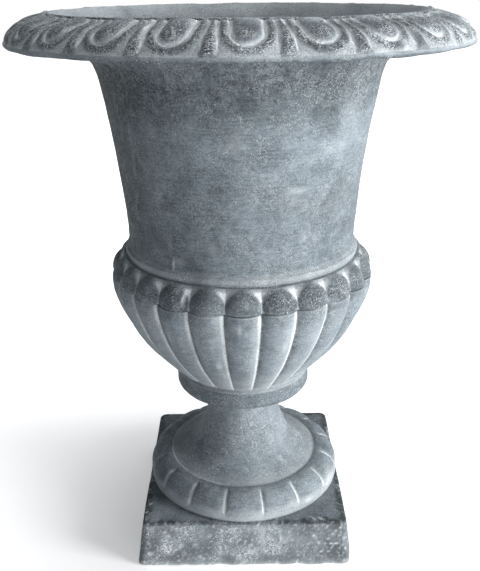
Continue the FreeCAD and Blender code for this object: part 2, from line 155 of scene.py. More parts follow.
def bend(centre, radius, start, end, rows):
    """Arc in the outline's plane. 0 degrees is straight up, 90 is straight out."""
    turn = np.radians(np.linspace(start, end, rows + 1)[1:])
    return np.stack([centre[0] + radius * np.sin(turn), centre[1] + radius * np.cos(turn)], axis=1)


def repeat_columns(half_period, count):
    """Angles of the columns, crowded where each lobe has its fine detail."""
    half = np.array(half_period)
    period = np.concatenate([-half[::-1], half[1:]])[:-1]
    starts = np.arange(count) * 360.0 / count
    angles = (starts[:, None] + period[None, :]).ravel()
    return np.append(angles, angles[0] + 360.0)


def from_middle(angles, count, turn=0.0):
    """Signed angle of each column from the middle of its own lobe, as one row."""
    pitch = 360.0 / count
    return ((angles - turn + pitch / 2) % pitch - pitch / 2)[None, :]


# ---------------- a casting from its rows
class Sheet:
    """Rows of points round the axis, each with its wear.

    The next rows take the turns, specks and tone that are set here."""

    def __init__(self, angles, specks=0.3, tone=0.5):
        self.turns_here = angles[None, :]
        self.specks_here = specks
        self.tone_here = tone
        self.blocks = []

    def add(self, radius, level, chalk=0.0, grime=0.0):
        radius, level = np.asarray(radius, dtype=float), np.asarray(level, dtype=float)
        radius = radius[:, None] if radius.ndim == 1 else radius
        level = level[:, None] if level.ndim == 1 else level
        shape = (len(level), self.turns_here.shape[1])
        values = (radius, self.turns_here, level, chalk, grime, self.specks_here, self.tone_here)
        self.blocks.append(np.stack([np.broadcast_to(value, shape) for value in values], axis=2))

    def add_line(self, line, chalk=0.0, grime=0.0):
        self.add(line[:, 0], line[:, 1], chalk, grime)

    def add_runs(self, corners, rows, chalk=0.0, grime=0.0):
        """Straight runs from corner to corner, each with its number of rows."""
        for start, end, count in zip(corners, corners[1:], rows):
            self.add_line(straight(start, end, count), chalk, grime)

    def close(self):
        """Leaves out the last row, which would lie on the first one."""
        self.blocks[-1] = self.blocks[-1][:-1]

    def points(self):
        radius, turns, level = np.moveaxis(np.vstack(self.blocks)[:, :, :3], 2, 0)
        turn = np.radians(turns)
        return np.stack([radius * np.sin(turn), -radius * np.cos(turn), level], axis=2)

    def wear(self):
        """Chalk with its painted highlights, grime with its painted shade, specks and tone of each point.
        """
        return np.vstack(self.blocks)[:, :, 3:]


def deselect():
    bpy.ops.object.select_all(action="DESELECT")


def wrapped(name, points, wear, hollow=True):
    """A grid wrapped into a closed sheet, which meets itself both ways or ends in points on the axis."""
    deselect()
    if hollow:
        points = np.concatenate([points, points[:1]], axis=0)
        wear = np.concatenate([wear, wear[:1]], axis=0)
    rows, columns = points.shape[:2]
    bpy.ops.mesh.primitive_grid_add(x_subdivisions=columns - 1, y_subdivisions=rows - 1, size=1)
    piece = bpy.context.object
    piece.name = name
    mesh = piece.data
    mesh.name = name
    mesh.vertices.foreach_set("co", (points * MM).astype(np.float32).ravel())
    # the grid's vertices lie row by row, so the wear goes in as it comes
    store = mesh.attributes.new("wear", "FLOAT_COLOR", "POINT")
    store.data.foreach_set("color", wear.astype(np.float32).ravel())
    bpy.ops.object.mode_set(mode="EDIT")
    bpy.ops.mesh.select_all(action="SELECT")
    bpy.ops.mesh.remove_doubles(threshold=0.01 * MM)
    bpy.ops.mesh.normals_make_consistent(inside=False)
    bpy.ops.object.mode_set(mode="OBJECT")
    bpy.ops.object.shade_smooth()
    return piece


def roughened(piece, coarse, fine):
    """Unevenness of sand casting, as moves along the surface's own normals, in millimetres."""
    mesh = piece.data
    count = len(mesh.vertices)
    places = np.empty(count * 3, dtype=np.float32)
    mesh.vertices.foreach_get("co", places)
    places = places.reshape(-1, 3)
    normals = np.empty(count * 3, dtype=np.float32)
    mesh.vertex_normals.foreach_get("vector", normals)
    normals = normals.reshape(-1, 3)
    moves = np.empty(count, dtype=np.float32)
    sunk = 0.35  # pulls the whole surface in a little, so that it stays inside the solid's box
    for index in range(count):
        place = Vector(places[index])
        wave = noise.noise(place * 22.0)
        grain = noise.noise(place * 120.0) + 0.6 * noise.noise(place * 300.0)
        moves[index] = coarse * (wave - sunk) + fine * (grain - sunk)
    places += normals * moves[:, None] * MM
    places[:, 2] = np.clip(places[:, 2], 0, lip_level * MM)
    mesh.vertices.foreach_set("co", places.ravel())
    mesh.update()


def sharpened(piece, degrees):
    """Smooth shading, but for the edges that turn by more than so many degrees."""
    deselect()
    piece.select_set(True)
    bpy.context.view_layer.objects.active = piece
    bpy.ops.object.shade_smooth_by_angle(angle=math.radians(degrees))


def scatter(turns, levels, radius, spots):
    """How far small blemishes stand out, and their chalk."""
    rise = np.zeros(np.broadcast(turns, levels).shape)
    chalk = np.zeros(rise.shape)
    for turn, level, width, height, out, white in spots:
        across = ((turns - turn + 180) % 360 - 180) * math.radians(1) * radius / width
        up = (levels - level) / height
        bump = np.exp(-(across ** 2) - up ** 2)
        rise = rise + out * bump
        chalk = chalk + white * bump
    return rise, chalk


def ripple(turns, levels, scale, seed):
    """Cheap unevenness with no seam: a sum of waves whose turns are whole numbers."""
    random = np.random.default_rng(seed)
    total = np.zeros(np.broadcast(turns, levels).shape)
    for _ in range(9):
        waves = random.integers(3, 3 + int(900 / scale))
        rise = random.uniform(-1, 1) * 2 * math.pi / scale
        start = random.uniform(0, 6.28)
        total = total + np.sin(np.radians(turns) * waves + levels * rise + start)
    return total / 3


# turn and lean of the lines where the parts of the bell's mould met
seam_lines = ((-49.5, 0.075), (64.0, 0.0), (135.0, 0.0), (-135.0, 0.0))


def mould_seam(turns, levels, radius, seed):
    """Flash that the mould left along its seams, broken and filed down by hand."""
    rise = 0.0
    for turn, lean in seam_lines:
        line = turn + lean * (levels - 500)
        off = ((turns - line + 180) % 360 - 180) * math.radians(1) * radius
        wander = 0.8 * np.sin(levels / 17.0 + turn) + 0.4 * np.sin(levels / 5.3)
        strength = 0.25 + 0.4 * np.sin(levels / 23.0 + seed) + 0.35 * np.sin(levels / 6.1 + turn)
        share = 1.6 if lean else 0.6
        rise = rise + share * np.clip(strength, 0, 1) * np.exp(-(((off - wander) / 1.2) ** 2))
    return rise


# ---------------- the gadroons' crown
shoulder_bend = 60.0
shoulder_angle = 74.0
side_bend = 185.0
cone_angle = 49.2
shoulder_centre = np.array((bowl_radius - shoulder_bend, widest_level))


def normal_at(angle):
    """Outward normal of the crown: 0 degrees looks straight down, 90 straight out."""
    return np.array([sin_of(angle), -cos_of(angle)])


shoulder_low = shoulder_centre + normal_at(shoulder_angle) * shoulder_bend
side_centre = shoulder_low - normal_at(shoulder_angle) * side_bend
side_low = side_centre + normal_at(cone_angle) * side_bend
cone_way = np.array([cos_of(cone_angle), sin_of(cone_angle)])
cone_length = (side_low[1] - collar_top) / cone_way[1]


def crown_rows(step):
    """Points and normals of the crown from the collar up to the widest level."""
    points, normals = [], []
    cone_rows = round(cone_length / step)
    for row in range(cone_rows):
        points.append(side_low - cone_way * cone_length * (1 - row / cone_rows))
        normals.append(normal_at(cone_angle))
    for centre, radius, start, end, last in (
        (side_centre, side_bend, cone_angle, shoulder_angle, 0),
        (shoulder_centre, shoulder_bend, shoulder_angle, 90, 1),
    ):
        rows = round(radius * math.radians(end - start) / step)
        for row in range(rows + last):
            normals.append(normal_at(start + (end - start) * row / rows))
            points.append(centre + normals[-1] * radius)
    return np.array(points), np.array(normals)


def below_crown(points, normals, off_middle, floor_depth):
    """How deep the round bar's surface lies under the crown, beside its middle, down to the groove."""
    side = np.radians(off_middle)
    radius = points[:, :1]
    out = normals[:, :1]
    down = normals[:, 1:]
    depth = np.zeros((len(points), off_middle.shape[-1]))
    for _ in range(4):
        lateral = (radius - depth * out) * np.sin(side)
        inside = np.sqrt(np.clip(gadroon_radius ** 2 - lateral ** 2, 0, None))
        sink = gadroon_radius - inside - out * radius * (1 - np.cos(side))
        depth = sink / (out ** 2 * np.cos(side) + down ** 2)
    softness = 0.9
    return -softness * np.log(np.exp(-depth / softness) + np.exp(-floor_depth / softness))


def groove_line(level):
    """Radius of the casting between the gadroons' tips, over the widest level."""
    share = (level - widest_level) / (arch_level - widest_level)
    return bowl_radius - groove_depth + (band_radius - bowl_radius + groove_depth) * share


def tip_radius(level, off_middle):
    """Round end of a gadroon standing out of the casting."""
    side = np.radians(off_middle)
    centre = bowl_radius - gadroon_radius
    above_end = np.clip(level - widest_level - tip_rise, 0, None)
    rest = gadroon_radius ** 2 - above_end ** 2 - (centre * np.sin(side)) ** 2
    ball = centre * np.cos(side) + np.sqrt(np.clip(rest, 0, None))
    base = groove_line(level)
    softness = 0.8
    top = np.maximum(ball, base)
    blended = top + softness * np.log(np.exp((ball - top) / softness) + np.exp((base - top) / softness))
    return np.where(rest > 0, blended, base)


# ---------------- gadrooned bowl
groove_half = [0, 1.3, 2.6, 3.8, 4.8, 5.6, 6.15, 6.55, 6.85, 7.1, 7.3, 7.5]
crown_step = 1.45  # between rows along the gadroons
groove_depth_low = 2.2  # at the collar
groove_deepening = 4.0  # how much deeper it is further up
end_drop = 3.4  # how far a gadroon's low end falls away towards the collar
collar_low_round = 7
collar_top_round = 3
clearance = 0.5  # round the neck's tenon, and round the upper casting's tongue
socket_radius = tenon_radius + clearance
rebate_radius = tongue_radius + clearance
rebate_low = seam_level - 9.5
floor_radius = 56
inner_wall = [
    (inner_seam_radius, rebate_low), (133.6, 312.0), (127.5, 285.0), (113.0, 254.0), (95.0, 232.0),
    (77.0, 212.5),
]
floor_bend = [(77.0, 212.5), (70.0, 206.0), (floor_radius, bowl_floor)]


def add_collar(sheet):
    """The tenon's socket, the collar's underside and its side up to the gadroons."""
    low_centre = (collar_radius - collar_low_round, collar_low + collar_low_round)
    top_centre = (collar_radius - collar_top_round, collar_top - collar_top_round)
    sheet.add_runs([(socket_radius, socket_top), (socket_radius, collar_low)], [3])
    sheet.add_runs([(socket_radius, collar_low), (low_centre[0], collar_low)], [4], grime=0.5)
    sheet.add_line(bend(low_centre, collar_low_round, 180, 90, 6), grime=0.25)
    side = straight((collar_radius, low_centre[1]), (collar_radius, top_centre[1]), 7)
    dents = 0.25 * np.abs(ripple(sheet.turns_here, side[:, 1:], 40, 5))
    sheet.add(side[:, :1] - dents, side[:, 1], grime=0.25)
    sheet.add_line(bend(top_centre, collar_top_round, 90, 10, 4), chalk=0.35)


def add_gadroons(sheet, off_middle):
    """The round bars up to the seam, with chalk and a painted highlight on their right flanks and painted
    shade on their left ones.
    """
    turns = sheet.turns_here
    points, normals = crown_rows(crown_step)
    reach = (np.arange(len(points)) * crown_step)[:, None]
    floor_depth = groove_depth_low + groove_deepening * smooth(20, 100, reach)
    depth = below_crown(points, normals, off_middle, floor_depth)
    ends = end_drop * (1 - smooth(0, 7, reach))
    depth = np.maximum(depth, ends) + 0.25 * np.minimum(depth, ends)
    hollow = smooth(0.45, 1.0, depth / (floor_depth + 0.01))
    radius = points[:, :1] - depth * normals[:, :1]
    level = points[:, 1:] - depth * normals[:, 1:]
    flaws, flaw_chalk = scatter(turns, level, 120, bowl_spots)
    radius = radius + flaws * normals[:, :1]

    # chalk and a painted highlight on the right flank, painted shade on the left flank, as a light from
    # the right would give
    lit_chalked_right_flank = 0.25 * smooth(2.6, 5.4, off_middle) + 0.85 * smooth(5.7, 6.6, off_middle)
    lit_chalked_right_flank = lit_chalked_right_flank * (1 - smooth(7.2, 7.5, off_middle))
    shaded_left_flank = 1 - smooth(-7.3, -4.8, off_middle)
    uneven = 0.75 + 0.25 * ripple(turns, level, 45, 23)
    low_end = np.exp(-((reach - 5) / 3.5) ** 2)
    chalk = lit_chalked_right_flank * uneven + 0.15 * hollow + flaw_chalk + 0.3 * low_end
    chalk = chalk + 0.28 * (1 - smooth(8, 75, reach))
    near_seam = smooth(22, 2, reach[-1] - reach + 6 * ripple(turns, level, 22, 61))
    # painted shade on the left flanks, and darker at the low ends and near the seam
    grime = 0.1 + 0.95 * shaded_left_flank + 0.3 * (1 - smooth(0, 12, reach)) + 0.45 * near_seam
    sheet.add(radius, level, chalk, grime)

    top = np.array([widest_level + 1.1, seam_level - 0.6])
    tips = tip_radius(top[:, None], off_middle)
    chips = 0.5 * np.clip(ripple(turns, top[:, None], 30, 8), 0, 1)
    # the bars' tops keep the painted highlight on the right and the painted shade on the left
    sheet.add(tips - chips, top, 0.9 * lit_chalked_right_flank, 0.2 + 0.6 * shaded_left_flank)
    edge = tip_radius(np.array([[seam_level]]), off_middle)
    sheet.add(edge - 0.35 - chips[-1:], [seam_level - 0.1], 0.2, 0.5)


def make_bowl():
    angles = repeat_columns(groove_half, gadroon_count)
    sheet = Sheet(angles, specks=0.55, tone=0.45)
    add_collar(sheet)
    sheet.tone_here = 0.68
    add_gadroons(sheet, from_middle(angles, gadroon_count))
    # the rebate for the tongue, the inner wall, the floor and the rod's hole
    sheet.add_runs([(rebate_radius + 1, seam_level), (rebate_radius, seam_level)], [1], grime=0.8)
    rebate = [(rebate_radius, seam_level), (rebate_radius, rebate_low), (inner_seam_radius, rebate_low)]
    sheet.add_runs(rebate, [2, 2])
    sheet.add_line(along(inner_wall, 14), chalk=0.3)
    sheet.add_line(along(floor_bend, 4), chalk=0.3)
    sheet.add_runs([(floor_radius, bowl_floor), (rod_hole_radius, bowl_floor)], [5], chalk=0.2)
    rod_hole = [(rod_hole_radius, bowl_floor), (rod_hole_radius, socket_top), (socket_radius, socket_top)]
    sheet.add_runs(rod_hole, [2, 3])
    sheet.close()
    piece = wrapped("bowl_casting", sheet.points(), sheet.wear())
    bored(piece, drain_radius, (drain_offset, 0, (socket_top + bowl_floor) / 2))
    return piece


def bored(piece, radius, centre):
    """Drills a hole straight down through the casting."""
    bpy.ops.mesh.primitive_cylinder_add(
        vertices=64, radius=radius * MM, depth=30 * MM, location=Vector(centre) * MM)
    drill = bpy.context.object
    bore = piece.modifiers.new("drain", "BOOLEAN")
    bore.operation = "DIFFERENCE"
    bore.object = drill
    deselect()
    bpy.context.view_layer.objects.active = piece
    piece.select_set(True)
    bpy.ops.object.modifier_apply(modifier=bore.name)
    bpy.data.objects.remove(drill, do_unlink=True)


# ---------------- bell, rolled rim and gadroon tips
egg_half = [0, 0.9, 1.8, 2.5, 3.0, 3.4, 3.9, 4.6, 5.3, 5.8, 6.3, 6.9, 7.5]
tip_half = [0, 1.2, 2.3, 3.3, 4.2, 5.0, 5.6, 6.1, 6.5, 6.85, 7.1, 7.3, 7.5]
tip_turn = 0.45  # how far this casting sits turned on the bowl
egg_turn = 1.6
tongue_low = seam_level - 8.0
rim_slope = 12.0  # fall of the rim from the lip outwards
rim_bend = 38.0  # radius of the rolled edge
nose_slope = 62.0  # where the rolled edge ends
rim_wall = 6.6
under_bend = rim_bend - rim_wall
nose_reach = rim_bend - rim_wall / 2
rim_centre_radius = rim_radius - rim_wall / 2 - sin_of(nose_slope) * nose_reach
rim_start_radius = rim_centre_radius + sin_of(rim_slope) * rim_bend
rim_fall = (rim_start_radius - mouth_radius) * math.tan(math.radians(rim_slope))
rim_centre = (rim_centre_radius, rim_level - rim_fall - cos_of(rim_slope) * rim_bend)
egg_straight = 27.0  # how far down the rim an egg's sides run straight
egg_half_width = 13.0
shell_width = 8.6  # dark band that follows the egg's outline
carving_rows = 38
shoulder_line = [
    (band_radius - 0.8, arch_level + 0.8), (131.6, arch_level + 0.9), (130.4, arch_level + 1.0),
]
bead_circle = (126.6, bead_level)
bell_line = [
    (128.3, 364.8), (127.3, 368.5), (127.0, 378), (128.5, 403), (130.4, 428), (133.3, 454), (136.6, 479),
    (140.1, 504), (144.4, 529), (149.4, 552), (152.7, 560.0),
]
flare_shares = ((0, 0), (0.20, 0.36), (0.52, 0.80))  # on the way from the bell's end to the rim
bell_inside = [
    (188.4, lip_level - 0.8), (184.0, 603.0), (170.5, 588.0), (156.5, 573.0), (147.2, 556.0),
    (138.6, 529), (133.8, 504), (130.2, 479), (126.9, 454), (122.4, 403), (120.3, 370), (122.5, 352),
    (inner_seam_radius, seam_level),
]


def off_rim_centre(reach, degrees):
    """Point at so much reach from the centre of the rim's bend."""
    return rim_centre[0] + reach * sin_of(degrees), rim_centre[1] + reach * cos_of(degrees)


def carved_rim(slope_length, off_middle, radius):
    """Egg-and-dart from the lip down: how far it stands out, its chalk and its grime."""
    across = np.radians(off_middle) * radius
    from_egg = np.hypot(across, np.clip(slope_length - egg_straight, 0, None)) - egg_half_width
    dart_half = 3.4 + 3.2 * smooth(6, 40, slope_length)
    to_dart = np.radians(180 / egg_count) * radius - np.abs(across)
    from_dart = to_dart - dart_half
    fade = smooth(0.3, 3.0, slope_length) * (1 - smooth(46.5, 50.0, slope_length))
    inside = np.clip(-from_egg - 0.9, 0, 11) / 11
    egg = 3.0 * np.sqrt(1 - (1 - inside) ** 2)
    in_shell = smooth(0.8, 2.6, from_egg) * (1 - smooth(shell_width - 1.8, shell_width + 0.8, from_egg))
    in_shell = in_shell * smooth(0.5, 2.0, from_dart)
    in_dart = 1 - smooth(-2.0, -0.3, from_dart)
    egg_line = np.exp(-((from_egg / 1.65) ** 2))
    dart_line = np.exp(-((from_dart / 1.35) ** 2)) * (1 - smooth(38, 50, slope_length))
    between = smooth(shell_width - 1.0, shell_width + 2.0, from_egg) * smooth(0.0, 2.5, from_dart)
    rise = egg + 1.3 * in_shell + (1.9 - 1.2 * (to_dart / 6.6) ** 2) * in_dart
    rise = rise - 1.5 * egg_line - 1.3 * dart_line
    chalk = 1.8 * egg_line + 1.5 * dart_line + 0.5 * between * smooth(20, 40, slope_length)
    chalk = chalk + 0.4 * (1 - smooth(1, 10, slope_length)) + 0.2 * smooth(46, 50, slope_length)
    grime = 1.1 * smooth(0.15, 0.7, inside) * smooth(8, 26, slope_length)
    grime = grime + 1.1 * in_shell + 1.05 * in_dart
    return rise * fade, chalk, grime * (1 - smooth(44, 49, slope_length))


def add_tips(sheet, off_tip):
    """The tongue and the gadroons' round tips, from the seam up to the band over them."""
    turns = sheet.turns_here
    sheet.add_runs([(tongue_radius, tongue_low), (tongue_radius, seam_level)], [2], grime=0.8)
    edge = tip_radius(np.array([[seam_level]]), off_tip)
    sheet.add(edge - 0.5, [seam_level + 0.05], 0.1, 0.6)
    levels = np.linspace(seam_level + 0.7, arch_level + 0.4, 16)[:, None]
    tips = tip_radius(levels, off_tip)
    over_seam = smooth(331, 335, levels)
    chips = 0.7 * np.clip(ripple(turns, levels, 26, 12), 0, 1) * (1 - over_seam)
    proud = tips - groove_line(levels)
    on_tip = smooth(0.7, 2.4, proud)
    at_edge = np.exp(-(((proud - 0.7) / 1.2) ** 2)) * over_seam
    lit_right_side = smooth(-0.8, 4.0, off_tip)
    flaws, flaw_chalk = scatter(turns, levels, 140, tip_spots)
    under_band = 1 - smooth(arch_level - 5, arch_level - 1, levels)
    # chalk between the tips, and a painted highlight on the right side of each tip's edge
    chalk = (at_edge * (0.1 + 1.0 * lit_right_side) + (1 - on_tip) * 0.5) * (0.3 + 0.7 * under_band)
    ragged = smooth(-0.5, 0.9, ripple(turns, levels, 14, 41) + 0.5 * (levels - seam_level - 1.5))
    # painted shade on the left side of each tip's edge, on top of the tips' own darker, ragged tone
    grime = on_tip * (0.12 + 0.3 * ragged) + at_edge * (1 - lit_right_side)
    sheet.add(tips - chips + flaws, levels[:, 0], chalk + flaw_chalk, grime)


def add_bell(sheet, egg_turns):
    """The shoulder over the tips, the bead and the bell, with a painted shadow of the rim over its top
    and painted shade on its left side.
    """
    tip_turns = sheet.turns_here
    sheet.add_line(np.array(shoulder_line), chalk=0.1, grime=0.3)
    sheet.specks_here = 1.3
    bead = bend(bead_circle, bead_radius, 122, 20, 7)
    lumps = 0.5 * np.clip(ripple(tip_turns, bead[:, 1:], 18, 31), -0.4, 1)
    sheet.add(bead[:, :1] + 0.4 + lumps, bead[:, 1], 0.3)
    sheet.specks_here = 0.5
    line = along(bell_line, 60)
    level = line[:, 1:]
    # the columns pass over from the tips' spacing to the eggs'
    share = smooth(372, 470, level)
    turns = sheet.turns_here = tip_turns * (1 - share) + egg_turns * share
    seams = mould_seam(turns, level, 140, 2.0)
    flaws, flaw_chalk = scatter(turns, level, 135, bell_spots)
    # painted shadow under the rim, deepest at the left, and painted shade on the left side, away from the
    # light
    shaded_left = 1 - smooth(5, 55, np.abs((turns + 80 + 180) % 360 - 180))
    darkening = smooth(496, 548, level) * (1.0 + 1.0 * shaded_left) + 1.3 * shaded_left
    sheet.add(line[:, :1] + seams * 0.8 + flaws, line[:, 1], 0.12 * seams + flaw_chalk, darkening)


def add_underside(sheet):
    """The flare under the rim, the inside of its bend and the rounded nose, with drips of the coat and
    painted shade under the rim.
    """
    under_start = off_rim_centre(under_bend, rim_slope)
    low_radius, low_level = bell_line[-1]
    across = under_start[0] - low_radius
    up = under_start[1] - low_level
    flare = [(low_radius + x * across, low_level + z * up) for x, z in flare_shares]
    # painted shade on the underside of the rim
    sheet.add_line(along(flare + [under_start], 8), grime=0.9)
    sheet.add_line(bend(rim_centre, under_bend, rim_slope, nose_slope, 5), grime=0.8)
    nose_centre = off_rim_centre(nose_reach, nose_slope)
    nose = bend(nose_centre, rim_wall / 2, nose_slope + 180, nose_slope, 6)
    outwards = np.linspace(0, 1, len(nose))[:, None]
    drips = 0.45 * np.clip(ripple(sheet.turns_here, nose[:, 1:], 30, 19), -1, 0.6) * (1 - outwards ** 4)
    chalk = 0.35 * smooth(0.6, 1, outwards)
    # painted shade on the lower, inner side of the nose
    grime = 0.9 * (1 - smooth(0.3, 0.9, outwards))
    sheet.specks_here = 0.6
    sheet.add(nose[:, :1], nose[:, 1:] + drips, chalk, grime)


def add_carving(sheet, off_egg):
    """The rim's upper face with its egg-and-dart, from the nose up to the lip."""
    flat_length = (rim_start_radius - mouth_radius) / cos_of(rim_slope)
    bend_length = rim_bend * math.radians(nose_slope - rim_slope)
    slope_length = np.linspace(flat_length + bend_length - 0.6, 1.2, carving_rows)[:, None]
    on_bend = np.clip((slope_length - flat_length) / rim_bend, 0, None)
    turn = np.radians(rim_slope + on_bend * 180 / math.pi)
    on_flat = np.clip(flat_length - slope_length, 0, None)
    radius = rim_centre[0] + rim_bend * np.sin(turn) - on_flat * cos_of(rim_slope)
    level = rim_centre[1] + rim_bend * np.cos(turn) + on_flat * sin_of(rim_slope)
    rise, chalk, grime = carved_rim(slope_length, off_egg, radius)
    rise = rise + 2.0 * (1 - smooth(0, 8, slope_length)) - 0.4
    flaws, flaw_chalk = scatter(sheet.turns_here, level, 220, rim_spots)
    rise = rise + flaws
    sheet.add(radius + rise * np.sin(turn), level + rise * np.cos(turn), chalk + flaw_chalk, grime)


def add_lip(sheet):
    """The raised lip, worn uneven, with painted shade on its outer face and its crest rubbed pale."""
    worn = 0.2 * ripple(sheet.turns_here, np.zeros((1, 1)), 40, 77)
    # radius, level, chalk and grime of each row; the grime on the outer face is painted shade
    rows = np.array([
        (mouth_radius - 0.1, rim_level + 0.7, 0.0, 1.0),
        (mouth_radius - 0.6, rim_level + 2.3, 0.0, 1.0),
        (mouth_radius - 1.6, lip_level - 0.25, 0.0, 0.9),
        (mouth_radius - 2.6, lip_level - 0.05, 0.45, 0.1),
        (189.2, lip_level - 0.2, 0.3, 0.2),
    ])
    sheet.add(rows[:, :1] + worn, rows[:, 1], rows[:, 2:3], rows[:, 3:])


def make_rim_and_bell():
    tip_angles = repeat_columns(tip_half, gadroon_count) + tip_turn
    egg_angles = repeat_columns(egg_half, egg_count) + egg_turn
    sheet = Sheet(tip_angles, specks=0.85, tone=0.42)
    add_tips(sheet, from_middle(tip_angles, gadroon_count, tip_turn))
    sheet.tone_here = 0.5
    add_bell(sheet, egg_angles[None, :])
    sheet.turns_here = egg_angles[None, :]
    add_underside(sheet)
    sheet.tone_here, sheet.specks_here = 0.42, 1.7
    add_carving(sheet, from_middle(egg_angles, egg_count, egg_turn))
    sheet.tone_here = 0.5
    add_lip(sheet)
    sheet.specks_here = 0.7
    # the inside of the mouth, with chalk near the lip and painted shade further down
    inside = along(bell_inside, 16, skip_first=False)
    down = smooth(4, 14, lip_level - inside[:, 1:])
    sheet.add(inside[:, :1], inside[:, 1], 0.45 - 0.2 * down, 0.25 * down)
    sheet.turns_here = tip_angles[None, :]
    sheet.add_runs([(inner_seam_radius, seam_level), (inner_seam_radius, tongue_low)], [2])
    return wrapped("rim_and_bell_casting", sheet.points(), sheet.wear())


# ---------------- foot
foot_half = [0, 1.3, 2.6, 3.9, 5.2, 6.5, 7.7, 8.8, 9.6, 10.15, 10.5, 10.75, 10.95, 11.1, 11.25]
foot_skirt = foot_low - 0.9  # its outer edge hangs a little over the bed of filler
foot_bearing_radius = 105.3
roof_bend = 9.3  # radius of the bend from the bearing rim to the foot's roof
roof_centre = (96, 68.7)
foot_swell = foot_ring_radius - foot_band_radius
step_level = foot_ring_top - foot_step_depth
waist_level = foot_ring_top + 0.66 * 93.0
# way up the trumpet, from the step to the waist, as shares across and up
trumpet_shares = ((0.315, 0.105), (0.634, 0.30), (0.835, 0.60), (0.965, 0.87))
trumpet_inside = [
    (neck_bore_radius, waist_level + 9), (34.3, waist_level), (43, 120), (58, 97), (80, 80), (96, 78),
]


def add_lobes(sheet, off_middle):
    """The plain edge on the plinth and the ring of lobes, with chalk in the grooves between them."""
    skirt = [(foot_bearing_radius, foot_low), (115.4, foot_low), (115.9, foot_skirt), (117.9, foot_skirt)]
    sheet.add_line(np.array(skirt), grime=0.3)
    sheet.add_runs([(foot_ring_radius, foot_low), (foot_ring_radius, foot_low + 4)], [2], chalk=0.45)
    centre = (foot_band_radius, foot_ring_top - foot_swell)
    turn = np.radians(np.linspace(90, 3, 27))[:, None]
    degrees = np.degrees(turn)
    half_pitch = 180 / foot_lobe_count
    out_radius = centre[0] + foot_swell * np.sin(turn)
    to_groove = (half_pitch - np.abs(off_middle)) * math.radians(1) * out_radius
    spindle = smooth(2, 22, degrees) * (1 - smooth(74, 90, degrees))
    sink = 1.7 * (np.abs(off_middle) / half_pitch) ** 2.2 * smooth(0, 14, degrees)
    line = np.exp(-((to_groove / 1.7) ** 2)) * spindle
    sink = sink + 2.3 * line
    radius = centre[0] + (foot_swell - sink) * np.sin(turn)
    level = centre[1] + (foot_swell - sink) * np.cos(turn)
    flaws, flaw_chalk = scatter(sheet.turns_here, level, 110, foot_spots)
    dusty = 0.4 * smooth(58, 88, degrees)
    sheet.add(radius + flaws, level, 1.15 * line + dusty + flaw_chalk, 0.1)
    band = [(foot_band_radius, foot_ring_top), (foot_step_radius + 0.5, foot_ring_top)]
    sheet.add_runs(band, [3], grime=0.1)
    step = [(foot_step_radius, foot_ring_top - 0.5), (foot_step_radius - 0.4, step_level)]
    sheet.add_line(np.array(step), chalk=0.9)


def add_trumpet(sheet):
    """The trumpet and the neck up to its seat, with faint rings of the casting's core."""
    turns = sheet.turns_here
    across = neck_radius - foot_step_radius
    up = waist_level - step_level
    trumpet = [(foot_step_radius - 0.6, step_level)]
    trumpet += [(foot_step_radius + x * across, step_level + z * up) for x, z in trumpet_shares]
    trumpet += [(neck_radius, waist_level), (44.6, 165.0), (neck_seat_radius, neck_seat_level - 0.8)]
    line = along(trumpet, 44)
    level = line[:, 1:]
    flaws, flaw_chalk = scatter(turns, level, 55, neck_spots)
    rings = 0.25 * np.sin(level / 3.1) + 0.2 * ripple(turns, level, 60, 3)
    near_step = np.exp(-((level - step_level) / 3.0))
    sheet.add(line[:, :1] + flaws + rings * 0.5, line[:, 1], flaw_chalk + 0.5 * near_step, 0.1)


def make_foot():
    angles = repeat_columns(foot_half, foot_lobe_count)
    sheet = Sheet(angles, specks=0.6, tone=0.56)
    add_lobes(sheet, from_middle(angles, foot_lobe_count))
    sheet.tone_here = 0.64
    sheet.specks_here = 1.0
    add_trumpet(sheet)
    # the seat with its tenon, then down the bore and out under the lobes
    tenon_top = neck_seat_level + tenon_height
    sheet.add_runs([(neck_seat_radius - 0.6, neck_seat_level), (tenon_radius, neck_seat_level),
                    (tenon_radius, tenon_top), (neck_bore_radius, tenon_top),
                    (neck_bore_radius, waist_level + 9)], [2, 2, 2, 2])
    sheet.add_line(along(trumpet_inside, 12))
    sheet.add_line(bend(roof_centre, roof_bend, 0, 90, 4))
    sheet.add_runs([(foot_bearing_radius, roof_centre[1]), (foot_bearing_radius, foot_low)], [2])
    sheet.close()
    return wrapped("foot_casting", sheet.points(), sheet.wear())


# ---------------- plinth
plinth_columns = 560
plinth_slope = plinth_lean / plinth_height
inner_corner = 3.0
underside_inset = 4.0  # how far in from the side the underside's worn edge begins
edge_run = 1.2  # how far in and how far up the bottom edge is worn


def square_way(count):
    """Even steps round a square that reaches from -1 to 1."""
    share = np.linspace(0, 4, count + 1)
    step = share % 1.0
    sides = [np.floor(share % 4) == side for side in range(4)]
    x = np.select(sides, [step - 0.5, 0.5, 0.5 - step, -0.5])
    y = np.select(sides, [-0.5, step - 0.5, 0.5, 0.5 - step])
    return np.stack([x, y], axis=1) * 2


def rounded_square(way, half, corner):
    """Points of a square with rounded corners, one for each point of the way round it."""
    inner = half - corner
    point = way * half
    over = np.clip(np.abs(point) - inner, 0, None)
    length = np.hypot(over[:, 0], over[:, 1])
    at_corner = (over[:, 0] > 0) & (over[:, 1] > 0)
    pull = np.where(at_corner, corner / np.maximum(length, 1e-6), 1.0)
    moved = np.sign(point) * (np.minimum(np.abs(point), inner) + over * pull[:, None])
    return np.where(at_corner[:, None], moved, point)


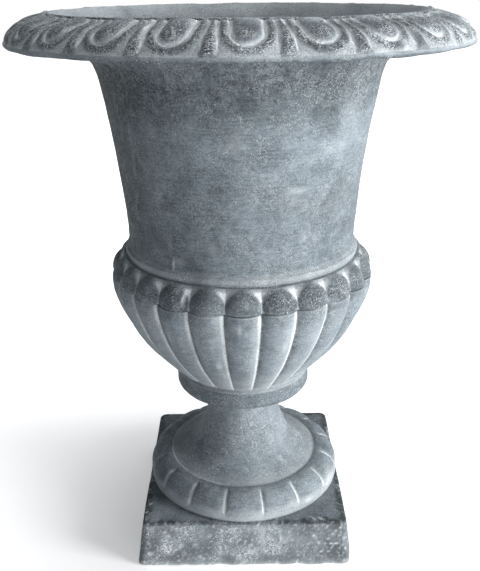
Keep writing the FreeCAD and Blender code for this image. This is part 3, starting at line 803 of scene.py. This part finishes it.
def make_plinth():
    way = square_way(plinth_columns)
    round_way = way / np.hypot(way[:, 0], way[:, 1])[:, None]
    rows, chalk, grime = [], [], []

    def put(flat, level, white=0.0, dark=0.0):
        rows.append(np.column_stack([flat, np.full(len(way), level)]))
        chalk.append(np.broadcast_to(white, len(way)))
        grime.append(np.broadcast_to(dark, len(way)))

    def put_square(half, level, corner, white=0.0, dark=0.0):
        put(rounded_square(way, half, corner), level, white, dark)

    half = plinth_side / 2
    put_square(half - plinth_wall, 0.0, inner_corner)
    put_square(half - underside_inset, 0.0, plinth_corner)
    put_square(half - edge_run, 0.1, plinth_corner, 0.6)
    for level in np.linspace(edge_run, plinth_height - plinth_edge, 26):
        white = 0.95 * math.exp(-level / 2.2) + 0.12
        put_square(half - level * plinth_slope, level, plinth_corner, white)
    edge_half = half - (plinth_height - plinth_edge) * plinth_slope
    for turn in (25, 50, 75, 90):
        reach = plinth_edge * (1 - cos_of(turn))
        lift = plinth_edge * sin_of(turn)
        put_square(edge_half - reach, plinth_height - plinth_edge + lift, plinth_corner, 0.0, 0.75)

    # the deck passes from the square to the round register, darker at the right, and behind the foot with
    # painted shade
    square_part = rounded_square(way, edge_half - plinth_edge, plinth_corner)
    round_part = round_way * (register_outer + 1)
    deck_darkening = 0.12 + 0.4 * np.clip(way[:, 0], -0.2, 1) + 0.3 * (way[:, 1] > 0)
    for share in np.linspace(0.12, 1, 7):
        put(square_part * (1 - share) + round_part * share, plinth_height, 0.4 * share ** 3, deck_darkening)
    register_level = plinth_height + register_height
    under = plinth_height - deck_thickness
    for radius, level in (
        (register_outer, plinth_height), (register_outer, register_level),
        (register_inner, register_level), (register_inner, plinth_height),
        (deck_hole_radius, plinth_height), (deck_hole_radius, under),
    ):
        put(round_way * radius, level)

    # the hollow below the deck
    inner_square = rounded_square(way, half - plinth_wall - under * plinth_slope, inner_corner)
    under_round = round_way * (deck_hole_radius + 8)
    for share in (0.0, 0.5, 1.0):
        put(under_round * (1 - share) + inner_square * share, under, 0.1, 0.3)
    for level in (30.0, 15.0):
        put_square(half - plinth_wall - level * plinth_slope, level, inner_corner, 0.1)

    chalk, grime = np.array(chalk), np.array(grime)
    level = np.array([row[0, 2] for row in rows])[:, None]
    on_side = (level < plinth_height - plinth_edge) & (chalk > 0.115)
    wear = np.stack([chalk, grime, np.where(on_side, 1.6, 0.5), np.full(chalk.shape, 0.5)], axis=2)
    piece = wrapped("plinth_casting", np.array(rows), wear)
    worn_edges(piece)
    return piece


def lumpy(place, scale, offset=(0, 0, 0)):
    return noise.noise(place * scale + Vector(offset))


def worn_edges(piece):
    """Chips along the bottom edge and pits in the faces, deeper at the corners, with uneven wear."""
    mesh = piece.data
    wear = mesh.attributes["wear"]
    for vertex in mesh.vertices:
        place = vertex.co / MM
        reach = max(abs(place.x), abs(place.y))
        if reach < plinth_side / 2 - 7 - place.z * plinth_slope:
            continue
        flat = Vector((place.x, place.y, 0))
        low = math.exp(-max(place.z, 0) / 5.0)
        chip = max(0.0, lumpy(flat, 0.055) + 0.15) * 3.2 * low
        if min(abs(place.x), abs(place.y)) > plinth_side / 2 - 22:
            chip = chip * 1.8
        pit = max(0.0, lumpy(place, 0.09, (9, 4, 2)) - 0.3) * 3.0
        pit += max(0.0, lumpy(place, 0.35) - 0.35) * 1.2
        vertex.co = vertex.co - flat.normalized() * (chip + pit) * MM
        blotch = lumpy(place, 0.045, (2, 7, 1))
        at_ends = max(0.0, abs(place.x + 14) / plinth_side - 0.16)
        colour = wear.data[vertex.index].color
        colour[0] = min(1.0, colour[0] + 0.25 * chip + 0.4 * pit)
        colour[0] += max(0.0, lumpy(place, 0.3, (5, 1, 8)) - 0.22) * 1.6
        colour[1] += max(0.0, blotch + 0.1) * 1.5 + 2.6 * at_ends
        colour[2] *= min(1.6, max(0.25, 0.8 - 2.4 * blotch)) * (1 - 0.75 * float(smooth(10, 90, place.x)))


# ---------------- rod
rod_radius = 5.0
rod_low = 24.0
rod_high = 219.0
thread_length = 17.0
thread_pitch = 1.5
thread_depth = 0.6


def make_rod():
    """The rod with its thread cut at both ends, one turn to each pitch."""
    sheet = Sheet(np.linspace(0, 360, 49))
    sheet.add_line(np.array([(0.0, rod_low), (rod_radius - 1.2, rod_low)]))
    rows = round(thread_length / thread_pitch * 8)
    low = np.linspace(rod_low + 0.1, rod_low + thread_length, rows)
    high = np.linspace(rod_high - thread_length, rod_high - 0.1, rows)
    for level in (low, high):
        place = level[:, None] / thread_pitch + sheet.turns_here / 360
        from_crest = np.abs(2 * (place % 1.0) - 1)
        end = np.minimum(level - rod_low, rod_high - level)
        depth = thread_depth * from_crest * smooth(thread_length, thread_length - 3, end)[:, None]
        chamfer = np.clip(1.0 - end, 0, 1)[:, None]
        sheet.add(rod_radius - np.maximum(depth, chamfer), level)
    sheet.add_line(np.array([(rod_radius - 1.2, rod_high), (0.0, rod_high)]))
    return wrapped("threaded_rod", sheet.points(), sheet.wear(), hollow=False)


# ---------------- blemishes seen in the castings
# each has its turn, level, width, height, how far it stands out, and its chalk
bell_spots = [
    (-50, 503, 2.6, 4.0, 1.4, 0.25),
    (-50, 494, 1.8, 6.0, 1.0, 0.2),
    (-51, 478, 1.3, 10.0, 0.9, 0.25),
    (-52, 460, 1.6, 7.0, 0.8, 0.2),
    (-55, 434, 1.6, 6.0, 0.9, 0.25),
    (-56, 424, 1.2, 4.0, 0.7, 0.2),
    (-57, 515, 1.2, 16.0, 0.5, 0.3),
    (-30, 376, 5.0, 2.5, 0.8, 0.5),
    (-33, 372, 1.5, 5.0, 1.4, 0.9),
    (-13, 392, 6.0, 8.0, -0.3, 0.25),
    (-12, 470, 16, 30, -0.5, 0.0),
    (17, 430, 20, 24, 0.4, 0.0),
    (24, 451, 11, 2.5, 0.7, 0.45),
    (33, 456, 8, 2.0, -0.7, -0.2),
    (44, 462, 9, 2.2, -0.8, -0.2),
    (54, 468, 8, 2.4, -0.8, -0.2),
    (31, 440, 4, 5.0, -0.8, -0.3),
    (28, 492, 12, 3.0, -0.5, -0.2),
    (-2, 500, 9, 12, 0.3, 0.2),
    (46, 500, 8, 30, 0.4, 0.15),
]
bowl_spots = [
    (-1.0, 316, 1.2, 6, 0.5, 0.4),
    (1.6, 311, 1.6, 3, 0.5, 0.35),
    (-1.5, 318, 1.0, 8, -0.4, 0.2),
    (18, 290, 2.0, 9, 0.5, 0.5),
    (-33, 296, 1.8, 12, 0.5, 0.6),
    (47, 270, 3.0, 10, 0.6, 0.5),
    (-12, 262, 2.5, 7, 0.5, 0.4),
]
tip_spots = [
    (-24.5, 344, 1.6, 6, 1.4, 0.9),
    (-23.2, 337, 1.4, 6, -1.3, 0.0),
    (1.2, 343, 0.9, 4, 0.7, 0.9),
    (2.4, 337, 0.8, 3, -0.7, 0.0),
    (-62, 340, 3.0, 4, 0.8, 0.6),
    (22, 346, 4.0, 3, 0.7, 0.6),
    (52, 343, 4.0, 5, 0.8, 0.7),
]
rim_spots = [
    (-67, 596, 1.0, 8, -0.5, 0.0),
    (-20, 602, 5.0, 3, 0.4, 0.5),
    (34, 590, 4.0, 4, 0.4, 0.6),
    (75, 598, 6.0, 4, 0.4, 0.6),
]
neck_spots = [
    (-18, 171, 3.0, 3.5, 1.4, 0.5),
    (-23, 166, 2.2, 2.5, 0.9, 0.3),
    (-14, 175, 2.0, 2.0, -1.0, -0.3),
    (12, 150, 6.0, 8, 0.4, 0.1),
    (35, 120, 5.0, 5, 0.5, 0.2),
    (-48, 112, 5.0, 6, 0.5, 0.2),
]
foot_spots = [
    (40, 66, 9, 5, 0.3, 0.5),
    (62, 70, 12, 7, 0.3, 0.5),
    (28, 72, 6, 5, 0.3, 0.25),
    (-35, 64, 6, 4, 0.3, 0.2),
]


# ---------------- materials
def srgb(code, alpha=1.0):
    """sRGB hex to the linear values that a shader takes."""
    values = []
    for place in (1, 3, 5):
        share = int(code[place:place + 2], 16) / 255
        values.append(share / 12.92 if share <= 0.04045 else ((share + 0.055) / 1.055) ** 2.4)
    return (*values, alpha)


def new_material(name):
    material = bpy.data.materials.new(name)
    material.use_nodes = True
    material.node_tree.nodes.clear()
    return material


def add(material, kind, settings=None, **links):
    """Adds a node with its settings to a material or the world.

    A link is named as its socket, with _ for a space, or s0, s1 by its place."""
    tree = material.node_tree
    node = tree.nodes.new(kind)
    for key, value in (settings or {}).items():
        setattr(node, key, value)
    for key, value in links.items():
        by_place = key[0] == "s" and key[1:].isdigit()
        socket = node.inputs[int(key[1:]) if by_place else key.replace("_", " ")]
        if isinstance(value, bpy.types.NodeSocket):
            tree.links.new(value, socket)
        else:
            socket.default_value = value
    return node


def ramp(material, factor, *stops):
    """Ramp with the given stops, each a place and a hex code or a grey."""
    node = add(material, "ShaderNodeValToRGB", s0=factor)
    elements = node.color_ramp.elements
    while len(elements) > 1:
        elements.remove(elements[0])
    for number, (place, value) in enumerate(stops):
        element = elements.new(place) if number else elements[0]
        element.position = place
        element.color = srgb(value) if isinstance(value, str) else (value, value, value, 1)
    return node.outputs[0]


def patina():
    """Cast metal with a blue-grey aged coat: dark where rubbed bare and where shade is painted, chalk
    left in every hollow, with painted highlights.
    """
    m = new_material("aged_lead_grey_casting")
    place = add(m, "ShaderNodeTexCoord").outputs["Object"]
    worn = add(m, "ShaderNodeAttribute", {"attribute_name": "wear"})
    wear = add(m, "ShaderNodeSeparateColor", s0=worn.outputs["Color"])
    chalk_and_highlight_left, grime_and_shade_left, speckled = wear.outputs[0], wear.outputs[1], wear.outputs[2]
    tone = worn.outputs["Alpha"]

    def cloud(scale, detail, rough, vector=place, distortion=0.0):
        node = add(m, "ShaderNodeTexNoise", Vector=vector, Scale=scale, Detail=detail, Roughness=rough,
                   Distortion=distortion)
        return node.outputs[0]

    def blend(factor, under, over):
        return add(m, "ShaderNodeMix", {"data_type": "RGBA"}, s0=factor, s6=under, s7=over).outputs[2]

    def calc(operation, a, b=0.0, clamp=False):
        settings = {"operation": operation, "use_clamp": clamp}
        return add(m, "ShaderNodeMath", settings, s0=a, s1=b).outputs[0]

    def times(first, *others, clamp=False):
        for number, other in enumerate(others):
            first = calc("MULTIPLY", first, other, clamp and number == len(others) - 1)
        return first

    # clouds of the coat, 60 to 150 mm across, mottling of 8 to 20 mm and sand grain of 1 to 3 mm
    broad = cloud(11.0, 4.0, 0.6, distortion=0.7)
    mottle = cloud(60.0, 7.0, 0.72, distortion=0.5)
    grain = cloud(480.0, 4.0, 0.75)
    # brush marks across the work, 1 to 2 mm high and some 20 mm long
    across = add(m, "ShaderNodeMapping", Vector=place, Scale=(0.09, 0.09, 1.0)).outputs[0]
    brushed = cloud(620.0, 3.0, 0.7, across)
    lighter = calc("SUBTRACT", tone, 0.5)
    depth = times(broad, 0.36)
    for layer, share in ((mottle, 0.24), (grain, 0.20), (brushed, 0.20), (lighter, 0.42)):
        depth = calc("ADD", depth, times(layer, share))
    base = ramp(m, depth, (0.34, "#3c4347"), (0.44, "#5d666c"), (0.51, "#768087"),
                (0.58, "#8d979e"), (0.70, "#a9b2b8"))
    # grime and rubbed metal where the carving stands dark, and the painted shade carried with the grime
    patchy = ramp(m, cloud(140.0, 7.0, 0.8), (0.38, 1.0), (0.60, 0.3))
    grime = times(grime_and_shade_left, patchy, clamp=True)
    base = blend(times(grime, 0.92), base, srgb("#33393c"))
    # a warm stain that rain has left in places, 50 to 150 mm across
    darkening = ramp(m, cloud(8.0, 3.0, 0.5, distortion=1.0), (0.56, 0), (0.72, 1))
    base = blend(times(darkening, 0.22), base, srgb("#5b5a52"))
    # chalk in the carving, and the painted highlights carried with it, broken up at 1 to 4 mm
    broken = ramp(m, cloud(520.0, 5.0, 0.8), (0.36, 0.3), (0.50, 1))
    patches = ramp(m, cloud(26.0, 4.0, 0.6), (0.33, 0.65), (0.58, 1))
    in_hollow = times(chalk_and_highlight_left, broken, patches, clamp=True)
    # stipple of chalk in grains of about 1 mm, thick in drifts of 20 to 60 mm
    stipple = ramp(m, cloud(780.0, 3.0, 0.8), (0.54, 0), (0.64, 1))
    drift = ramp(m, cloud(30.0, 6.0, 0.7, distortion=0.8), (0.38, 0.14), (0.60, 1))
    scuff = ramp(m, cloud(170.0, 8.0, 0.82, distortion=1.5), (0.57, 0), (0.68, 1))
    dust = times(calc("MAXIMUM", stipple, times(scuff, 0.8)), drift, times(speckled, 1.1), clamp=True)
    # thin pale edges where the coat has flaked, in drifts
    flaking = cloud(48.0, 6.0, 0.68, distortion=1.4)
    flaking = ramp(m, flaking, (0.475, 0), (0.495, 1), (0.515, 0))
    flaking = times(flaking, drift, times(speckled, 0.55), clamp=True)
    white = calc("MAXIMUM", in_hollow, calc("MAXIMUM", dust, flaking))
    colour = blend(white, base, srgb("#e6ecee"))
    # dark pits of the sand mould, about 1 mm
    pits = ramp(m, cloud(620.0, 4.0, 0.8), (0.34, 1), (0.43, 0))
    colour = blend(times(pits, 0.7), colour, srgb("#31383b"))
    rough = ramp(m, mottle, (0.3, 0.62), (0.7, 0.86))
    height = calc("ADD", times(cloud(240.0, 8.0, 0.8), 0.8), times(white, 0.25))
    height = calc("ADD", height, times(brushed, 0.12))
    height = calc("SUBTRACT", height, times(pits, 0.3))
    bump = add(m, "ShaderNodeBump", Strength=0.8, Distance=0.0016, Height=height)
    shader = add(m, "ShaderNodeBsdfPrincipled", Base_Color=colour, Roughness=rough, Metallic=0.0,
                 IOR=1.45, Normal=bump.outputs[0])
    shader.inputs["Specular IOR Level"].default_value = 0.2
    add(m, "ShaderNodeOutputMaterial", s0=shader.outputs[0])
    return m


def simple_material(name, low, high, scale, roughness, metallic, bump_depth):
    """Two close colours in patches, with a fine grain that also stands out by bump_depth, in metres."""
    m = new_material(name)
    place = add(m, "ShaderNodeTexCoord").outputs["Object"]
    grain = add(m, "ShaderNodeTexNoise", Vector=place, Scale=scale, Detail=5.0, Roughness=0.65).outputs[0]
    fine = add(m, "ShaderNodeTexNoise", Vector=place, Scale=scale * 7, Detail=3.0,
               Roughness=0.6).outputs[0]
    colour = ramp(m, grain, (0.3, low), (0.7, high))
    rough_low, rough_high = roughness - 0.1, min(1.0, roughness + 0.1)
    rough = ramp(m, fine, (0.3, rough_low), (0.7, rough_high))
    bump = add(m, "ShaderNodeBump", Strength=0.4, Distance=bump_depth, Height=fine)
    shader = add(m, "ShaderNodeBsdfPrincipled", Base_Color=colour, Roughness=rough, Metallic=metallic,
                 Normal=bump.outputs[0])
    add(m, "ShaderNodeOutputMaterial", s0=shader.outputs[0])
    return m


# ---------------- the pieces
coat = patina()
# mineral filler, hard and gritty, grit of about 1 mm
putty = simple_material("mineral_joint_putty", "#8d9496", "#b9bfc0", 300.0, 0.9, 0.0, 0.0006)
# zinc-plated steel, dull, with the bloom of damp soil in patches of about 5 mm
zinc = simple_material("dull_zinc_plated_steel", "#83878b", "#b4b8bb", 180.0, 0.42, 1.0, 0.0001)
# moulded black rubber with a fine matt skin
rubber = simple_material("moulded_black_rubber", "#141516", "#242628", 240.0, 0.72, 0.0, 0.0002)


def finished(piece, material):
    piece.data.materials.clear()
    piece.data.materials.append(material)


# how far the cast surface waves and how far its grain stands out, in millimetres
for make, replaced, coarse, fine in (
    (make_rim_and_bell, "rim_and_bell", 0.9, 0.16),
    (make_bowl, "gadrooned_bowl", 0.7, 0.16),
    (make_foot, "lobed_foot", 0.6, 0.16),
    (make_plinth, "plinth", 0.5, 0.2),
):
    piece = make()
    roughened(piece, coarse, fine)
    sharpened(piece, 50)
    finished(piece, coat)
    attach(piece, "urn")
    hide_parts(replaced)

rod = make_rod()
sharpened(rod, 40)
finished(rod, zinc)
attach(rod, "urn")
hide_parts("tie_rod")

for finish, names in (
    (putty, ("seam_putty", "neck_putty", "foot_putty")),
    (zinc, ("rod_top_nut", "rod_top_washer", "clamp_bar", "rod_bottom_washer", "rod_bottom_nut")),
    (rubber, ("rod_top_seal", "drain_plug")),
):
    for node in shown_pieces():
        if node.name.split(".")[0] in names:
            finished(node, finish)


# ---------------- floor, light and camera
def shows_surround(owner):
    """1 for the rays that show the surround as it is: to the camera, in gloss and through glass."""
    path = add(owner, "ShaderNodeLightPath")
    seen = path.outputs["Is Camera Ray"]
    for kind in ("Is Glossy Ray", "Is Transmission Ray"):
        either = add(owner, "ShaderNodeMath", {"operation": "MAXIMUM"}, s0=seen, s1=path.outputs[kind])
        seen = either.outputs[0]
    return seen


deselect()
bpy.ops.mesh.primitive_plane_add(size=14)
floor = bpy.context.object
floor.name = "studio_floor"
# white paper sweep: it keeps the urn's own shadow near by and burns out to white further off
sweep = new_material("pale_studio_floor")
where = add(sweep, "ShaderNodeTexCoord").outputs["Object"]
away = add(sweep, "ShaderNodeVectorMath", {"operation": "LENGTH"}, s0=where).outputs["Value"]
lift = add(sweep, "ShaderNodeMapRange", s0=away, s1=0.15, s2=0.9, s3=0.35, s4=1.2).outputs[0]
seen = shows_surround(sweep)
glow = add(sweep, "ShaderNodeMath", {"operation": "MULTIPLY"}, s0=lift, s1=seen).outputs[0]
paper = add(sweep, "ShaderNodeBsdfDiffuse", Color=srgb("#fbfbfb")).outputs[0]
shine = add(sweep, "ShaderNodeEmission", Color=(1, 1, 1, 1), Strength=glow).outputs[0]
both = add(sweep, "ShaderNodeAddShader", s0=paper, s1=shine).outputs[0]
add(sweep, "ShaderNodeOutputMaterial", s0=both)
floor.data.materials.append(sweep)

# soft light from all sides, and white where the surround itself is seen
world = bpy.data.worlds.new("studio_surround")
bpy.context.scene.world = world
world.use_nodes = True
world.node_tree.nodes.clear()
soft = add(world, "ShaderNodeBackground", s0=srgb("#e8eef4"), s1=0.15).outputs[0]
white = add(world, "ShaderNodeBackground", s0=(1, 1, 1, 1), s1=1.0).outputs[0]
either = add(world, "ShaderNodeMixShader", s0=shows_surround(world), s1=soft, s2=white).outputs[0]
add(world, "ShaderNodeOutputWorld", s0=either)


def area_lamp(name, place, aim, size, energy, colour):
    lamp = bpy.data.lights.new(name, "AREA")
    lamp.shape = "RECTANGLE"
    lamp.size, lamp.size_y = size
    lamp.energy = energy
    lamp.color = srgb(colour)[:3]
    holder = bpy.data.objects.new(name, lamp)
    bpy.context.scene.collection.objects.link(holder)
    holder.location = place
    holder.rotation_euler = (Vector(aim) - Vector(place)).to_track_quat("-Z", "Y").to_euler()


# a window at the right gives most of the light
area_lamp("window_right", (2.05, -0.9, 0.75), (0.0, 0.0, 0.3), (0.9, 1.4), 74, "#ffffff")
area_lamp("front_fill", (0.8, -2.3, 0.35), (0.0, 0.0, 0.2), (1.2, 0.6), 15, "#f6faff")
area_lamp("ceiling", (0.4, 0.3, 2.3), (0.0, 0.0, 0.3), (1.6, 1.6), 20, "#fdfeff")

# the photograph's camera, fitted to the plinth's square and the rim's circle
camera_place = (-0.0023, -0.8084, 0.6376)
camera_pitch = math.radians(22.428)
camera_roll = math.radians(-0.624)
focal_pixels = 744.4
photo_height = 571
sensor_width = 36.0
right = Vector((1, 0, 0))
ahead = Vector((0, math.cos(camera_pitch), -math.sin(camera_pitch)))
up = right.cross(ahead)
camera_right = right * math.cos(camera_roll) + up * math.sin(camera_roll)
camera_up = up * math.cos(camera_roll) - right * math.sin(camera_roll)
camera_data = bpy.data.cameras.new("photo_camera")
camera_data.sensor_width = sensor_width
camera_data.sensor_fit = "AUTO"
camera_data.lens = focal_pixels / photo_height * sensor_width
camera = bpy.data.objects.new("photo_camera", camera_data)
bpy.context.scene.collection.objects.link(camera)
turned = Matrix((camera_right, camera_up, -ahead)).transposed().to_4x4()
camera.matrix_world = Matrix.Translation(camera_place) @ turned
bpy.context.scene.camera = camera
bpy.context.scene.view_settings.view_transform = "Standard"
